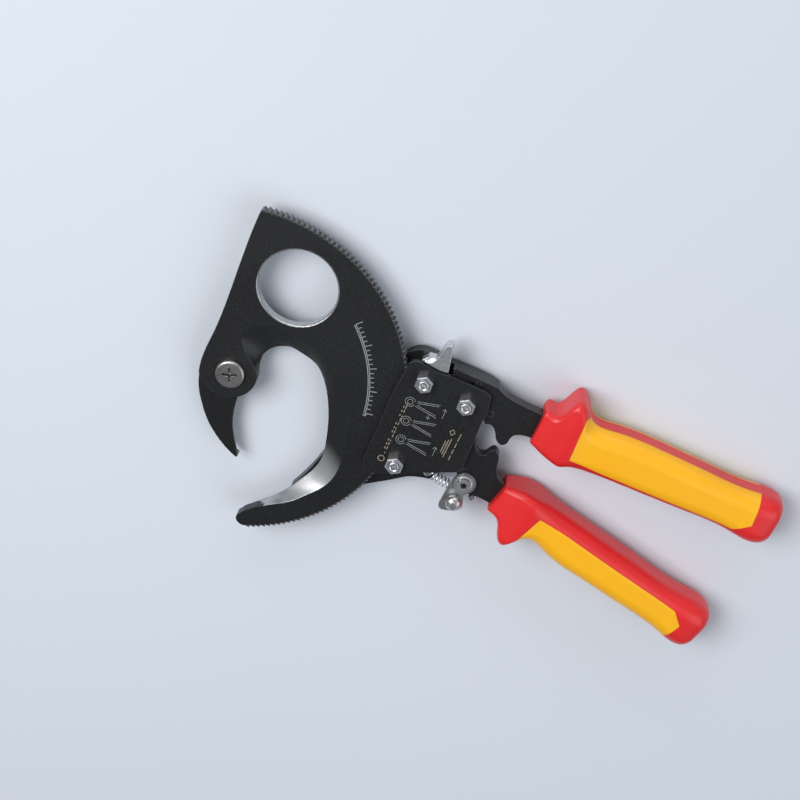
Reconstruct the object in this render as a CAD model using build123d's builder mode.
from build123d import *
import math
import os

os.makedirs("parts", exist_ok=True)

# ---------------------------------------------------------------- frame
# The tool lies flat: +Z up (its front face), +X along the fixed handle.
# The outlines below are drawn from the blade pivot, at the moving blade's
# front face, with the fixed handle dropping TURN degrees towards its end.
TURN = 20.0          # turn that brings the fixed handle onto +X
PIVOT_X = -124.85    # blade pivot in the part's frame
PIVOT_Y = -4.05
FRONT_Z = 15.1       # height of the moving blade's front face

# ---------------------------------------------------------------- layers
BLADE_T = 5.6        # moving blade, moving handle arm
PLATE_TOP = -6.0     # front face of the fixed blade plate
PLATE_T = 5.6        # fixed blade plate
COVER_BOTTOM = 0.4   # back face of the front cover plate
COVER_T = 2.5
PLATE_BACK = PLATE_TOP - PLATE_T

# ---------------------------------------------------------------- ratchet
TOOTH_R = 85.0       # tip radius of the ratchet teeth
TOOTH_DEPTH = 1.4
TOOTH_STEP = 1.8     # degrees per tooth
FIRST_TIP = -84.45   # angle of the lowest tooth tip
TEETH = 91

# ---------------------------------------------------------------- pivots
LEVER_AXIS = (93.1, 5.2)      # release lever bolt
HANDLE_AXIS = (113.3, -4.6)   # moving handle bolt
CORNER_BOLT = (80.5, -39.0)   # lower housing bolt
DRIVE_PIN = (91.0, -6.0)
HOLD_PIN = (91.0, -19.8)
LOCK_AXIS = (114.3, -47.0)
SPRING_PEG = (96.0, -45.8)
ARM_PEG = (118.0, -57.2)
BOLT_R = 2.5
RUN = 0.05           # radial running clearance

# ---------------------------------------------------------------- grips
FIXED_GRIP = (147.5, -12.5, -20.6)    # front centre x, y and direction
MOVING_GRIP = (131.5, -51.2, -33.0)
GRIP_LENGTH = 122.0
ARM_MID = -2.8       # middle of the handle arms' thickness


def level(z):
    """Plane through the blade pivot at height z over the blade's front face."""
    a = math.radians(TURN)
    return Plane(origin=(PIVOT_X, PIVOT_Y, FRONT_Z + z),
                 x_dir=(math.cos(a), math.sin(a), 0), z_dir=(0, 0, 1))


def level_at(x, y, z, turn=0.0):
    """Plane at a drawn point, turned by an angle about the normal."""
    a = math.radians(TURN)
    b = math.radians(TURN + turn)
    return Plane(origin=(PIVOT_X + x * math.cos(a) - y * math.sin(a),
                         PIVOT_Y + x * math.sin(a) + y * math.cos(a), FRONT_Z + z),
                 x_dir=(math.cos(b), math.sin(b), 0), z_dir=(0, 0, 1))


def point(x, y, z):
    a = math.radians(TURN)
    return Vector(PIVOT_X + x * math.cos(a) - y * math.sin(a),
                  PIVOT_Y + x * math.sin(a) + y * math.cos(a), FRONT_Z + z)


def polar(r, deg):
    return (r * math.cos(math.radians(deg)), r * math.sin(math.radians(deg)))


# ================================================================ moving blade
# Inner edge from the tip round to the pivot boss, and the line on the front
# face where its ground bevel begins.
EDGE = [(12, -72), (20, -68), (27, -63), (33.5, -57), (39.5, -51), (43.5, -44.5),
        (45.6, -35), (46.6, -24), (46.2, -12), (44.0, -1), (40, 6.4), (34, 10.8),
        (28, 14), (23.5, 15), (19.5, 14.1), (16.5, 11.3), (14.3, 7.6), (13.2, 3.5), (12.9, -1)]
BEVEL = [(12.3, -72.2), (22, -69.6), (30, -67), (38, -62.4), (45.4, -57.6), (50.8, -51),
         (54.6, -41), (56.8, -28), (56.4, -14), (53, -2), (47.6, 8.6), (40.4, 16.8),
         (33, 22), (25.6, 24.9), (16.4, 26), (9.6, 23.6), (5.6, 18.6), (6.4, 13.4), (13.2, -1.4)]

teeth = []
for i in range(TEETH - 1, -1, -1):
    tip = FIRST_TIP + TOOTH_STEP * i
    teeth.append(polar(TOOTH_R - TOOTH_DEPTH, tip + 0.25))
    teeth.append(polar(TOOTH_R, tip))
last_tip = teeth[-1]

with BuildPart() as moving_blade:
    with BuildSketch(level(-BLADE_T)):
        with BuildLine():
            Polyline((15.2, 82.6), (16.2, 83.1), *teeth)
            Polyline(last_tip, (6.2, -83.6))
            Spline((6.2, -83.6), (2.6, -82.2), (1.5, -79.9), (3.0, -77.2))
            Polyline((3.0, -77.2), (5.4, -75.2), (12, -72))
            Spline(*EDGE)
            ThreePointArc((12.9, -1), (4.2, -12.1), (-6.8, -11.5))
            ThreePointArc((-6.8, -11.5), (-12.8, -7.2), (-15.5, -0.4))
            Spline((-15.5, -0.4), (-12.2, 11.0), (-7.8, 20.6), (-0.3, 40.0), (6.5, 60.0), (13.6, 79.0), (15.2, 82.6))
        make_face()
    extrude(amount=BLADE_T)
    # large round hole with broken edges
    with BuildSketch(level(-BLADE_T)):
        with Locations((32.25, 46.1)):
            Circle(18.85)
    extrude(amount=BLADE_T, mode=Mode.SUBTRACT)
    with BuildSketch(level(-0.5)):
        with Locations((32.25, 46.1)):
            Circle(18.85)
    extrude(amount=0.5, taper=-45, mode=Mode.SUBTRACT)
    with BuildSketch(level(-BLADE_T + 0.5)):
        with Locations((32.25, 46.1)):
            Circle(18.85)
    extrude(amount=-0.5, taper=-45, mode=Mode.SUBTRACT)
    # pivot bore
    with BuildSketch(level(-BLADE_T)):
        Circle(6.0 + RUN)
    extrude(amount=BLADE_T, mode=Mode.SUBTRACT)
    # ground bevel that leaves a cutting edge at the back face
    with BuildSketch(level(-BLADE_T + 0.5)):
        with BuildLine():
            Spline(*EDGE)
            Polyline(EDGE[-1], (16, -6), (26, -30), (22, -55), EDGE[0])
        make_face()
    with BuildSketch(level(0.05)):
        with BuildLine():
            Spline(*BEVEL)
            Polyline(BEVEL[-1], (16, -6), (26, -30), (22, -55), BEVEL[0])
        make_face()
    loft(ruled=True, mode=Mode.SUBTRACT)
moving_blade.part.label = "moving_blade"
export_step(moving_blade.part, "parts/moving_blade.step")

# ================================================================ fixed blade plate
with BuildPart() as fixed_blade:
    with BuildSketch(level(PLATE_BACK)):
        with BuildLine():
            # outside of the beak, from the pivot boss down to its point
            Spline((-14.2, 4.0), (-17.0, -6.0), (-17.0, -14.0), (-15.6, -21.5), (-12.6, -30.8), (-9.0, -37.4), (-4.6, -43.4), (0.6, -48.6))
            # point, cutting edge and the arch over the jaw
            Polyline((0.6, -48.6), (1.4, -48.0))
            Spline((1.4, -48.0), (0.2, -40.0), (-0.8, -31.0), (0.2, -22.0), (3.0, -13.0), (8.0, -4.4), (12.4, 4.6), (18.4, 11.8),
                   (27.0, 13.6), (36.5, 10.6), (44.6, 3.4), (49.6, -7.0), (51.6, -18.0), (49.6, -31.0), (43.6, -43.0), (35.6, -54.0), (28.4, -62.0))
            # lower edge of the body to the housing
            Polyline((28.4, -62.0), (30.6, -63.2), (61.0, -58.2))
            Spline((61.0, -58.2), (70.5, -55.6), (79.0, -53.0), (87.3, -50.6), (93.0, -50.6), (96.6, -51.0))
            Polyline((96.6, -51.0), (99.4, -49.2), (101.5, -45.0), (112.0, -43.0), (114.4, -38.6), (121.0, -15.2), (127.6, -16.2), (129.0, -9.0), (127.4, 2.4), (124.0, 4.8))
            Spline((124.0, 4.8), (114.0, 9.0), (104.0, 12.6), (97.0, 15.6))
            Spline((97.0, 15.6), (91.0, 17.6), (85.6, 16.6), (82.0, 12.6))
            Spline((82.0, 12.6), (72.0, 19.0), (58.0, 23.6), (44.0, 24.4), (32.0, 23.4), (20.0, 21.6), (8.0, 17.8), (-5.0, 12.0), (-14.2, 4.0))
        make_face()
    extrude(amount=PLATE_T)
    with BuildSketch(level(PLATE_BACK)):
        Circle(6.0)
    extrude(amount=PLATE_T, mode=Mode.SUBTRACT)
    for spot in (LEVER_AXIS, HANDLE_AXIS, CORNER_BOLT):
        with BuildSketch(level_at(*spot, PLATE_BACK)):
            Circle(BOLT_R)
        extrude(amount=PLATE_T, mode=Mode.SUBTRACT)
    for spot, r in ((HOLD_PIN, 1.6), (SPRING_PEG, 1.2), ((118.2, 5.4), 1.5), ((124.6, -9.6), 1.5)):
        with BuildSketch(level_at(*spot, PLATE_BACK)):
            Circle(r)
        extrude(amount=PLATE_T, mode=Mode.SUBTRACT)
    # ground bevel along the beak, on the back face
    with BuildSketch(level(PLATE_BACK - 0.05)):
        with BuildLine():
            Spline((2.4, -48.6), (-6.0, -40.0), (-9.4, -31.0), (-9.2, -22.0), (-7.6, -15.0), (8.0, -9.0))
            Polyline((8.0, -9.0), (10.0, -14.0), (10.0, -40.0), (2.4, -48.6))
        make_face()
    with BuildSketch(level(PLATE_TOP - 0.5)):
        with BuildLine():
            Spline((2.4, -48.3), (0.7, -40.0), (-0.2, -31.0), (0.8, -22.0), (3.2, -15.0), (8.2, -9.2))
            Polyline((8.2, -9.2), (10.0, -14.0), (10.0, -40.0), (2.4, -48.3))
        make_face()
    loft(ruled=True, mode=Mode.SUBTRACT)
fixed_blade.part.label = "fixed_blade"
export_step(fixed_blade.part, "parts/fixed_blade.step")

# ================================================================ blade pivot
with BuildPart() as pivot_bush:
    with BuildSketch(level(PLATE_BACK)):
        Circle(6.0)
        Circle(3.1, mode=Mode.SUBTRACT)
    extrude(amount=-PLATE_BACK + 0.3)
pivot_bush.part.label = "pivot_bush"
export_step(pivot_bush.part, "parts/pivot_bush.step")

with BuildPart() as pivot_screw:
    with BuildSketch(level(0.3)):
        Circle(7.2)
    extrude(amount=2.2)
    fillet(pivot_screw.edges().sort_by(Axis.Z)[-1:], radius=1.3)
    with BuildSketch(level(0.3)):
        Circle(3.0)
    extrude(amount=-15.4)
    # cross recess
    with BuildSketch(level(2.5)):
        Rectangle(7.4, 1.3)
        Rectangle(1.3, 7.4)
    extrude(amount=-1.9, taper=12, mode=Mode.SUBTRACT)
pivot_screw.part.label = "pivot_screw"
export_step(pivot_screw.part, "parts/pivot_screw.step")

with BuildPart() as pivot_washer:
    with BuildSketch(level(PLATE_BACK - 0.9)):
        Circle(6.6)
        Circle(3.1, mode=Mode.SUBTRACT)
    extrude(amount=0.9)
pivot_washer.part.label = "pivot_washer"
export_step(pivot_washer.part, "parts/pivot_washer.step")

with BuildPart() as pivot_nut:
    with BuildSketch(level(PLATE_BACK - 3.5)):
        RegularPolygon(radius=5.0, side_count=6, major_radius=False)
        Circle(3.05, mode=Mode.SUBTRACT)
    extrude(amount=2.6)
    with BuildSketch(level(PLATE_BACK - 3.5)):
        Circle(5.3)
    extrude(amount=2.6, taper=-28, mode=Mode.INTERSECT)
pivot_nut.part.label = "pivot_nut"
export_step(pivot_nut.part, "parts/pivot_nut.step")

# ================================================================ front cover plate
with BuildPart() as front_cover_plate:
    with BuildSketch(level(COVER_BOTTOM)):
        with BuildLine():
            Polyline((85.0, 13.0), (80.0, 2.0), (76.0, -8.0), (72.0, -20.0), (68.2, -30.0), (65.4, -38.2))
            Spline((65.4, -38.2), (65.4, -41.4), (67.2, -44.3), (70.0, -45.8), (73.0, -45.8))
            Polyline((73.0, -45.8), (100.0, -42.3), (109.6, -41.3))
            Spline((109.6, -41.3), (112.2, -40.2), (113.6, -37.4))
            Polyline((113.6, -37.4), (116.4, -28.5), (121.0, -13.0))
            Spline((121.0, -13.0), (122.9, -9.6), (123.9, -5.0), (124.4, 0.0))
            ThreePointArc((124.4, 0.0), (123.6, 1.8), (122.0, 2.9))
            Spline((122.0, 2.9), (118.0, 4.4), (110.0, 7.5), (104.0, 9.5), (100.0, 10.4), (95.0, 13.0), (90.4, 15.2))
            ThreePointArc((90.4, 15.2), (87.2, 15.3), (85.0, 13.0))
        make_face()
    extrude(amount=COVER_T)
    for spot in (LEVER_AXIS, HANDLE_AXIS, CORNER_BOLT):
        with BuildSketch(level_at(*spot, COVER_BOTTOM)):
            Circle(BOLT_R)
        extrude(amount=COVER_T, mode=Mode.SUBTRACT)
front_cover_plate.part.label = "front_cover_plate"
export_step(front_cover_plate.part, "parts/front_cover_plate.step")

# ================================================================ housing fasteners
with BuildPart() as housing_bolts:
    for spot in (LEVER_AXIS, HANDLE_AXIS, CORNER_BOLT):
        with BuildSketch(level_at(*spot, PLATE_BACK - 2.8)):
            RegularPolygon(radius=4.0, side_count=6, major_radius=False)
        extrude(amount=2.8)
        with BuildSketch(level_at(*spot, PLATE_BACK)):
            Circle(BOLT_R - 0.02)
        extrude(amount=COVER_BOTTOM + COVER_T + 4.9 - PLATE_BACK)
housing_bolts.part.label = "housing_bolts"
export_step(housing_bolts.part, "parts/housing_bolts.step")

with BuildPart() as housing_nuts:
    for spot in (LEVER_AXIS, HANDLE_AXIS, CORNER_BOLT):
        with BuildSketch(level_at(*spot, COVER_BOTTOM + COVER_T, 12)):
            RegularPolygon(radius=4.0, side_count=6, major_radius=False)
            Circle(BOLT_R, mode=Mode.SUBTRACT)
        extrude(amount=3.5)
        with BuildSketch(level_at(*spot, COVER_BOTTOM + COVER_T + 3.5, 12)):
            RegularPolygon(radius=4.0, side_count=6, major_radius=False)
            Circle(BOLT_R, mode=Mode.SUBTRACT)
        extrude(amount=0.5, taper=40)
housing_nuts.part.label = "housing_nuts"
export_step(housing_nuts.part, "parts/housing_nuts.step")

with BuildPart() as lever_bush:
    with BuildSketch(level_at(*LEVER_AXIS, PLATE_TOP)):
        Circle(3.9)
        Circle(BOLT_R, mode=Mode.SUBTRACT)
    extrude(amount=COVER_BOTTOM - PLATE_TOP)
lever_bush.part.label = "lever_bush"
export_step(lever_bush.part, "parts/lever_bush.step")

with BuildPart() as handle_bush:
    with BuildSketch(level_at(*HANDLE_AXIS, PLATE_TOP)):
        Circle(4.5)
        Circle(BOLT_R, mode=Mode.SUBTRACT)
    extrude(amount=COVER_BOTTOM - PLATE_TOP)
handle_bush.part.label = "handle_bush"
export_step(handle_bush.part, "parts/handle_bush.step")

with BuildPart() as housing_spacer:
    with BuildSketch(level_at(*CORNER_BOLT, PLATE_TOP)):
        Circle(3.8)
        Circle(BOLT_R, mode=Mode.SUBTRACT)
    extrude(amount=COVER_BOTTOM - PLATE_TOP)
housing_spacer.part.label = "housing_spacer"
export_step(housing_spacer.part, "parts/housing_spacer.step")

# ================================================================ fixed handle arm
FIXED_DIR = FIXED_GRIP[2]
MOVING_DIR = MOVING_GRIP[2]
hx, hy = HANDLE_AXIS
with BuildPart() as fixed_handle_arm:
    with BuildSketch(level(PLATE_TOP)):
        with BuildLine():
            Polyline((106.2, 12.0), (106.2, 5.6), (107.2, 4.4))
            ThreePointArc((107.2, 4.4), (hx + polar(10.9, 45)[0], hy + polar(10.9, 45)[1]),
                          (hx + polar(10.9, -42)[0], hy + polar(10.9, -42)[1]))
            Polyline((hx + polar(10.9, -42)[0], hy + polar(10.9, -42)[1]), (122.3, -15.0), (124.6, -15.1))
            Spline((124.6, -15.1), (126.8, -17.2), (127.6, -20.4), (128.4, -23.6), (131.0, -25.6), (133.5, -24.2), (134.7, -21.8), (136.6, -19.9), (140.0, -19.4), (145.0, -20.6))
            Polyline((145.0, -20.6), (150.0, -21.9))
            Polyline((150.0, -21.9), (152.4, -19.2), (225.0, -46.5))
            ThreePointArc((225.0, -46.5), (230.2, -43.0), (228.4, -37.0))
            Polyline((228.4, -37.0), (154.6, -9.2), (151.0, -8.6))
            Spline((151.0, -8.6), (146.0, -6.6), (141.0, -4.6), (135.0, -1.9), (130.6, 1.0), (128.0, 3.9))
            Polyline((128.0, 3.9), (115.0, 9.2), (107.4, 12.2), (106.2, 12.0))
        make_face()
    extrude(amount=COVER_BOTTOM - PLATE_TOP)
    with BuildSketch(level_at(118.2, 5.4, PLATE_TOP)):
        Circle(1.5)
    extrude(amount=COVER_BOTTOM - PLATE_TOP, mode=Mode.SUBTRACT)
    with BuildSketch(level_at(124.6, -9.6, PLATE_TOP)):
        Circle(1.5)
    extrude(amount=COVER_BOTTOM - PLATE_TOP, mode=Mode.SUBTRACT)
fixed_handle_arm.part.label = "fixed_handle_arm"
export_step(fixed_handle_arm.part, "parts/fixed_handle_arm.step")

with BuildPart() as arm_rivets:
    for spot in ((118.2, 5.4), (124.6, -9.6)):
        with BuildSketch(level_at(*spot, PLATE_BACK)):
            Circle(1.5)
        extrude(amount=COVER_BOTTOM - PLATE_BACK - 0.02)
arm_rivets.part.label = "arm_rivets"
export_step(arm_rivets.part, "parts/arm_rivets.step")

# ================================================================ moving handle arm
with BuildPart() as moving_handle_arm:
    with BuildSketch(level(-BLADE_T)):
        with BuildLine():
            ThreePointArc((hx + polar(9.0, 0)[0], hy + polar(9.0, 0)[1]), (hx + polar(9.0, 90)[0], hy + polar(9.0, 90)[1]),
                          (hx + polar(9.0, 180)[0], hy + polar(9.0, 180)[1]))
            Polyline((hx - 9.0, hy), (105.4, -9.6), (107.6, -15.0), (107.8, -25.0), (108.8, -35.0), (110.6, -44.0), (112.4, -50.2))
            Spline((112.4, -50.2), (114.4, -53.2), (117.4, -54.4), (121.0, -55.2), (125.0, -57.0), (128.4, -58.8))
            Polyline((128.4, -58.8), (131.6, -60.4), (134.6, -59.8), (207.4, -107.0))
            ThreePointArc((207.4, -107.0), (213.6, -105.2), (213.2, -98.8))
            Polyline((213.2, -98.8), (140.2, -51.4), (134.3, -47.9))
            Spline((134.3, -47.9), (131.9, -46.0), (130.0, -43.2), (129.3, -39.4), (129.8, -35.4), (129.6, -31.2), (127.6, -29.1), (125.2, -30.2), (123.0, -32.1), (120.4, -31.6), (118.7, -29.0))
            Spline((118.7, -29.0), (118.1, -22.0), (118.8, -15.0), (120.4, -10.4), (hx + 9.0, hy))
        make_face()
    extrude(amount=BLADE_T)
    # lobe that carries the drive pawl, half as thick, behind the pawl
    with BuildSketch(level(-BLADE_T)):
        with BuildLine():
            ThreePointArc((91.2, -2.1), (87.1, -6.0), (91.0, -9.9))
            Spline((91.0, -9.9), (98.0, -9.0), (106.0, -12.6))
            Polyline((106.0, -12.6), (112.0, -10.0), (108.0, 0.6))
            Spline((108.0, 0.6), (99.0, -1.6), (91.2, -2.1))
        make_face()
    extrude(amount=2.4)
    # thin tab for the spring's peg
    with BuildSketch(level(-BLADE_T)):
        with Locations(ARM_PEG):
            Circle(2.4)
        with BuildLine():
            Polyline((115.9, -56.0), (116.4, -52.0), (121.0, -53.0), (120.3, -56.4), (115.9, -56.0))
        make_face()
    extrude(amount=1.2)
    with BuildSketch(level_at(*HANDLE_AXIS, -BLADE_T)):
        Circle(4.5 + RUN)
    extrude(amount=BLADE_T, mode=Mode.SUBTRACT)
    with BuildSketch(level_at(*DRIVE_PIN, -BLADE_T)):
        Circle(1.6)
    extrude(amount=BLADE_T, mode=Mode.SUBTRACT)
    with BuildSketch(level_at(*LOCK_AXIS, -BLADE_T)):
        Circle(2.0)
    extrude(amount=BLADE_T, mode=Mode.SUBTRACT)
    with BuildSketch(level_at(*ARM_PEG, -BLADE_T)):
        Circle(1.1)
    extrude(amount=BLADE_T, mode=Mode.SUBTRACT)
moving_handle_arm.part.label = "moving_handle_arm"
export_step(moving_handle_arm.part, "parts/moving_handle_arm.step")

# ================================================================ pawls
with BuildPart() as drive_pawl:
    with BuildSketch(level(-2.8)):
        with Locations(DRIVE_PIN):
            Circle(3.6)
        with BuildLine():
            Polyline((87.5, -5.0), (86.5, -12.0), (85.9, -17.0), (82.95, -20.75), (84.9, -22.1))
            Spline((84.9, -22.1), (88.4, -17.6), (92.2, -12.0), (94.5, -6.8))
            Polyline((94.5, -6.8), (87.5, -5.0))
        make_face()
        with Locations(DRIVE_PIN):
            Circle(1.6 + RUN, mode=Mode.SUBTRACT)
    extrude(amount=2.6)
drive_pawl.part.label = "drive_pawl"
export_step(drive_pawl.part, "parts/drive_pawl.step")

with BuildPart() as drive_pawl_pin:
    with BuildSketch(level_at(*DRIVE_PIN, -BLADE_T)):
        Circle(1.6)
    extrude(amount=BLADE_T - 0.1)
drive_pawl_pin.part.label = "drive_pawl_pin"
export_step(drive_pawl_pin.part, "parts/drive_pawl_pin.step")

with BuildPart() as holding_pawl:
    with BuildSketch(level(-5.5)):
        with Locations(HOLD_PIN):
            Circle(3.5)
        with BuildLine():
            Polyline((88.2, -17.7), (82.04, -29.46), (79.47, -31.36), (81.2, -33.0))
            Spline((81.2, -33.0), (85.0, -30.2), (89.6, -26.4), (93.4, -22.3))
            Polyline((93.4, -22.3), (88.2, -17.7))
        make_face()
        with BuildLine():
            Polyline((92.6, -16.7), (97.2, -16.5), (97.2, -19.5), (92.6, -22.9), (92.6, -16.7))
        make_face()
        with Locations(HOLD_PIN):
            Circle(1.6 + RUN, mode=Mode.SUBTRACT)
    extrude(amount=2.4)
    with BuildSketch(level_at(97.2, -18.0, -5.5)):
        Circle(1.5)
    extrude(amount=5.1)
holding_pawl.part.label = "holding_pawl"
export_step(holding_pawl.part, "parts/holding_pawl.step")

with BuildPart() as holding_pawl_pin:
    with BuildSketch(level_at(*HOLD_PIN, PLATE_BACK)):
        Circle(1.6)
    extrude(amount=-PLATE_BACK - 3.1)
holding_pawl_pin.part.label = "holding_pawl_pin"
export_step(holding_pawl_pin.part, "parts/holding_pawl_pin.step")

# ================================================================ release lever
with BuildPart() as release_lever:
    with BuildSketch(level(-5.2)):
        with Locations(LEVER_AXIS):
            Circle(6.2)
        with BuildLine():
            Polyline((88.4, 8.6), (91.4, 15.2), (94.4, 17.2), (97.4, 16.6), (101.6, 12.6), (103.4, 9.0), (98.4, 4.0), (88.4, 8.6))
        make_face()
    extrude(amount=5.1)
    # thumb fin outside the housing
    with BuildSketch(level(-5.2)):
        with BuildLine():
            Spline((92.4, 15.4), (96.0, 15.4), (99.0, 18.0), (101.3, 22.0), (102.9, 24.2))
            Polyline((102.9, 24.2), (105.4, 24.3), (105.5, 22.0), (104.4, 14.0), (103.9, 10.6))
            Spline((103.9, 10.6), (100.2, 11.4), (96.0, 13.4), (92.4, 15.4))
        make_face()
    extrude(amount=7.4)
    # hooked cam finger inside the housing, in front of the lobe
    with BuildSketch(level(-2.8)):
        with BuildLine():
            Polyline((97.0, 1.6), (99.6, -6.0), (100.6, -17.0), (101.2, -22.0), (97.2, -20.3), (93.6, -18.9),
                     (93.2, -20.4), (96.6, -22.2), (101.6, -24.4), (103.3, -23.0), (102.8, -15.0), (101.5, -6.0),
                     (98.9, 3.4), (97.0, 1.6))
        make_face()
    extrude(amount=2.7)
    with BuildSketch(level_at(*LEVER_AXIS, -5.2)):
        Circle(3.9 + RUN)
    extrude(amount=7.4, mode=Mode.SUBTRACT)
release_lever.part.label = "release_lever"
export_step(release_lever.part, "parts/release_lever.step")

# ================================================================ lock lever
with BuildPart() as lock_lever:
    with BuildSketch(level(0.5)):
        with BuildLine():
            Spline((110.0, -44.4), (107.6, -48.4), (104.8, -54.2), (102.6, -59.2))
            ThreePointArc((102.6, -59.2), (103.0, -61.6), (105.2, -62.5))
            Spline((105.2, -62.5), (108.6, -62.9), (112.0, -62.2), (114.0, -59.8), (114.1, -56.6), (114.4, -54.2), (116.0, -52.6))
            ThreePointArc((116.0, -52.6), (119.7, -45.2), (110.0, -44.4))
        make_face()
        with Locations(LOCK_AXIS):
            Circle(2.0 + RUN, mode=Mode.SUBTRACT)
        with Locations((109.9, -56.9)):
            Circle(1.2, mode=Mode.SUBTRACT)
    extrude(amount=2.0)
lock_lever.part.label = "lock_lever"
export_step(lock_lever.part, "parts/lock_lever.step")

with BuildPart() as lock_screw:
    with BuildSketch(level_at(*LOCK_AXIS, -BLADE_T)):
        Circle(2.0)
    extrude(amount=BLADE_T + 2.9)
    with BuildSketch(level_at(*LOCK_AXIS, 2.9)):
        Circle(4.7)
    extrude(amount=0.9)
    with BuildSketch(level_at(*LOCK_AXIS, 3.8)):
        Circle(3.9)
    extrude(amount=1.7, taper=20)
    with BuildSketch(level_at(*LOCK_AXIS, 5.5)):
        RegularPolygon(radius=1.5, side_count=6, major_radius=False)
    extrude(amount=-1.8, mode=Mode.SUBTRACT)
lock_screw.part.label = "lock_screw"
export_step(lock_screw.part, "parts/lock_screw.step")

with BuildPart() as lock_knob:
    with BuildSketch(level_at(109.9, -56.9, 0.5)):
        Circle(1.2)
    extrude(amount=3.0)
    with BuildSketch(Plane(origin=tuple(point(109.9, -56.9, 0)), x_dir=(1, 0, 0), z_dir=(0, -1, 0))):
        with BuildLine():
            Polyline((0, 2.5), (2.6, 2.5))
            Spline((2.6, 2.5), (3.7, 3.7), (3.95, 5.2), (3.3, 7.1), (1.9, 8.3), (0, 8.7), tangents=((1, 0.2), (-1, 0)))
            Polyline((0, 8.7), (0, 2.5))
        make_face()
    revolve(axis=Axis(point(109.9, -56.9, 0), (0, 0, 1)))
lock_knob.part.label = "lock_knob"
export_step(lock_knob.part, "parts/lock_knob.step")

# ================================================================ handle return spring
S0 = (98.4, -47.2)
S1 = (112.6, -54.8)
SPRING_Z = -3.0
WIRE_R = 0.45
p0 = point(*S0, SPRING_Z)
p1 = point(*S1, SPRING_Z)
coil_dir = (p1 - p0).normalized()
coil_len = (p1 - p0).length
with BuildPart() as handle_return_spring:
    with BuildLine() as coil:
        Helix(pitch=coil_len / 10.0, height=coil_len, radius=1.95, center=p0, direction=coil_dir)
    with BuildSketch(Plane(origin=coil.line @ 0, z_dir=coil.line % 0)):
        Circle(WIRE_R)
    sweep()
    # end loops round the two pegs
    for peg, near in ((SPRING_PEG, S0), (ARM_PEG, S1)):
        c = point(*peg, SPRING_Z)
        with BuildSketch(Plane(origin=c + Vector(1.75, 0, 0), x_dir=(1, 0, 0), z_dir=(0, 1, 0))):
            Circle(WIRE_R)
        revolve(axis=Axis(c, (0, 0, 1)))
    for start, end, peg in ((coil.line @ 0, p0, SPRING_PEG), (coil.line @ 1, p1, ARM_PEG)):
        c = point(*peg, SPRING_Z)
        to_peg = (c - end).normalized()
        stop = c - to_peg * 1.75
        run_dir = stop - start
        with BuildSketch(Plane(origin=start, z_dir=run_dir)):
            Circle(WIRE_R * 0.98)
        extrude(amount=run_dir.length)
handle_return_spring.part.label = "handle_return_spring"
export_step(handle_return_spring.part, "parts/handle_return_spring.step")

with BuildPart() as spring_body_peg:
    with BuildSketch(level_at(*SPRING_PEG, PLATE_BACK)):
        Circle(1.2)
    extrude(amount=-PLATE_BACK - 1.4)
spring_body_peg.part.label = "spring_body_peg"
export_step(spring_body_peg.part, "parts/spring_body_peg.step")

with BuildPart() as spring_arm_peg:
    with BuildSketch(level_at(*ARM_PEG, -BLADE_T)):
        Circle(1.1)
    extrude(amount=4.2)
spring_arm_peg.part.label = "spring_arm_peg"
export_step(spring_arm_peg.part, "parts/spring_arm_peg.step")


# ================================================================ grips
def station(grip, s, top, bottom, half):
    """Cross-section plane of a grip at distance s behind its front end."""
    x, y, turn = grip
    d = math.radians(turn)
    mid = (top + bottom) / 2
    cx = x + s * math.cos(d) - mid * math.sin(d)
    cy = y + s * math.sin(d) + mid * math.cos(d)
    w = math.radians(turn + TURN)
    return Plane(origin=tuple(point(cx, cy, ARM_MID)),
                 x_dir=(-math.sin(w), math.cos(w), 0), z_dir=(math.cos(w), math.sin(w), 0))


def grip_point(grip, s, t):
    x, y, turn = grip
    d = math.radians(turn)
    return (x + s * math.cos(d) - t * math.sin(d), y + s * math.sin(d) + t * math.cos(d))


# distance behind the front end, top, bottom, half thickness, corner radius
FIXED_SECTIONS = [(0.0, 7.2, -9.4, 8.2, 2.6), (4.0, 9.2, -11.0, 9.0, 2.8), (8.4, 13.6, -12.4, 10.2, 3.2), (12.2, 20.8, -13.4, 11.2, 3.8),
                  (15.6, 20.2, -14.2, 12.0, 5.0), (21.0, 13.8, -13.4, 11.6, 7.0), (34.0, 12.4, -12.0, 11.2, 8.0), (58.0, 13.2, -11.2, 11.4, 8.0),
                  (82.0, 12.6, -10.6, 11.2, 8.0), (104.0, 12.6, -11.0, 11.2, 8.0), (117.0, 13.4, -11.8, 11.0, 8.0), (GRIP_LENGTH, 10.6, -9.0, 8.6, 6.5)]
MOVING_SECTIONS = [(0.0, 5.8, -9.4, 8.2, 2.6), (4.0, 7.6, -10.2, 9.0, 2.8), (8.2, 9.4, -12.4, 10.2, 3.2), (12.4, 10.2, -18.4, 11.2, 3.8),
                   (16.2, 10.6, -20.6, 12.0, 5.0), (22.0, 10.8, -13.2, 11.6, 7.0), (36.0, 10.6, -12.0, 11.2, 8.0), (58.0, 10.6, -12.8, 11.4, 8.0),
                   (82.0, 10.4, -12.4, 11.2, 8.0), (104.0, 11.0, -12.6, 11.2, 8.0), (117.0, 11.8, -13.4, 11.0, 8.0), (GRIP_LENGTH, 9.0, -10.6, 8.6, 6.5)]


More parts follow.
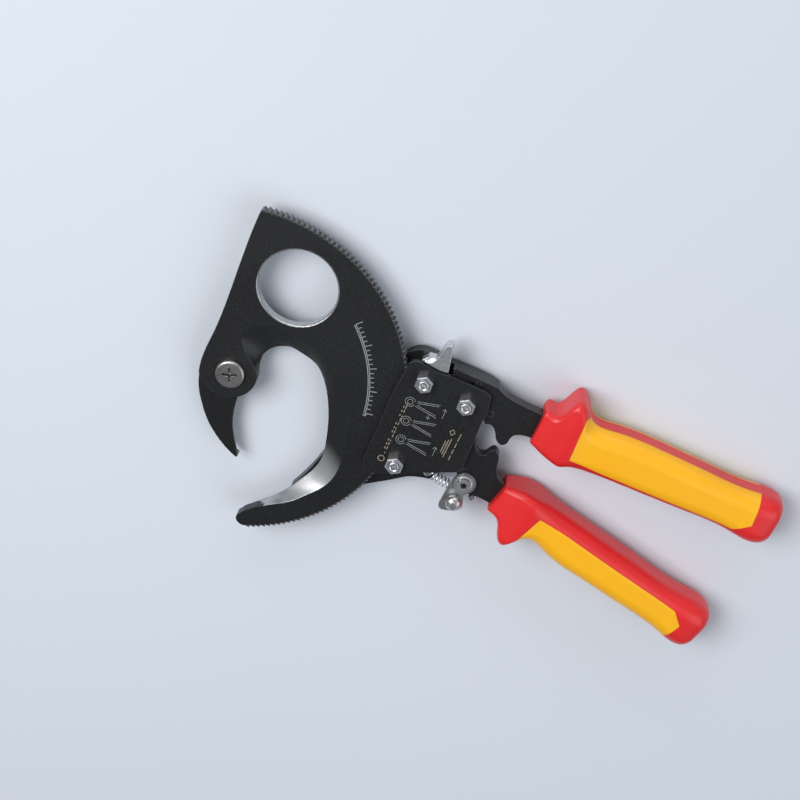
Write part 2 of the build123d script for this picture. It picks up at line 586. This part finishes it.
FIXED_INLAY = [grip_point(FIXED_GRIP, s, t) for s, t in
               [(18.0, 15.0), (19.6, -7.2), (36.0, -8.0), (104.0, -7.2), (111.0, -1.0), (109.0, 15.0), (60.0, 16.0)]]
MOVING_INLAY = [grip_point(MOVING_GRIP, s, t) for s, t in
                [(22.0, 4.0), (19.8, -15.0), (60.0, -16.0), (109.0, -15.0), (111.0, -1.0), (104.0, 4.2), (36.0, 4.6)]]
INLAY_NEAR = 4.2     # inlay floor, measured from the middle of the grip
INLAY_FAR = 16.0

with BuildPart() as fixed_grip:
    for s, top, bottom, half, corner in FIXED_SECTIONS:
        with BuildSketch(station(FIXED_GRIP, s, top, bottom, half)):
            RectangleRounded(top - bottom, 2 * half, corner)
    loft()
    with BuildSketch(level(ARM_MID + INLAY_NEAR)):
        with BuildLine():
            Polyline(*FIXED_INLAY, close=True)
        make_face()
    extrude(amount=INLAY_FAR - INLAY_NEAR, mode=Mode.SUBTRACT)
    with BuildSketch(level(ARM_MID - INLAY_FAR)):
        with BuildLine():
            Polyline(*FIXED_INLAY, close=True)
        make_face()
    extrude(amount=INLAY_FAR - INLAY_NEAR, mode=Mode.SUBTRACT)
    add(fixed_handle_arm.part, mode=Mode.SUBTRACT)
fixed_grip.part.label = "fixed_grip"
export_step(fixed_grip.part, "parts/fixed_grip.step")

with BuildPart() as fixed_grip_inlays:
    for s, top, bottom, half, corner in FIXED_SECTIONS:
        with BuildSketch(station(FIXED_GRIP, s, top, bottom, half)):
            RectangleRounded(top - bottom, 2 * half, corner)
    loft()
    with BuildSketch(level(ARM_MID - INLAY_FAR)):
        with BuildLine():
            Polyline(*FIXED_INLAY, close=True)
        make_face()
    extrude(amount=2 * INLAY_FAR, mode=Mode.INTERSECT)
    with BuildSketch(level(ARM_MID - INLAY_NEAR)):
        with Locations((180, -30)):
            Rectangle(260, 260)
    extrude(amount=2 * INLAY_NEAR, mode=Mode.SUBTRACT)
fixed_grip_inlays.part.label = "fixed_grip_inlays"
export_step(fixed_grip_inlays.part, "parts/fixed_grip_inlays.step")

with BuildPart() as moving_grip:
    for s, top, bottom, half, corner in MOVING_SECTIONS:
        with BuildSketch(station(MOVING_GRIP, s, top, bottom, half)):
            RectangleRounded(top - bottom, 2 * half, corner)
    loft()
    with BuildSketch(level(ARM_MID + INLAY_NEAR)):
        with BuildLine():
            Polyline(*MOVING_INLAY, close=True)
        make_face()
    extrude(amount=INLAY_FAR - INLAY_NEAR, mode=Mode.SUBTRACT)
    with BuildSketch(level(ARM_MID - INLAY_FAR)):
        with BuildLine():
            Polyline(*MOVING_INLAY, close=True)
        make_face()
    extrude(amount=INLAY_FAR - INLAY_NEAR, mode=Mode.SUBTRACT)
    add(moving_handle_arm.part, mode=Mode.SUBTRACT)
moving_grip.part.label = "moving_grip"
export_step(moving_grip.part, "parts/moving_grip.step")

with BuildPart() as moving_grip_inlays:
    for s, top, bottom, half, corner in MOVING_SECTIONS:
        with BuildSketch(station(MOVING_GRIP, s, top, bottom, half)):
            RectangleRounded(top - bottom, 2 * half, corner)
    loft()
    with BuildSketch(level(ARM_MID - INLAY_FAR)):
        with BuildLine():
            Polyline(*MOVING_INLAY, close=True)
        make_face()
    extrude(amount=2 * INLAY_FAR, mode=Mode.INTERSECT)
    with BuildSketch(level(ARM_MID - INLAY_NEAR)):
        with Locations((180, -60)):
            Rectangle(260, 260)
    extrude(amount=2 * INLAY_NEAR, mode=Mode.SUBTRACT)
moving_grip_inlays.part.label = "moving_grip_inlays"
export_step(moving_grip_inlays.part, "parts/moving_grip_inlays.step")
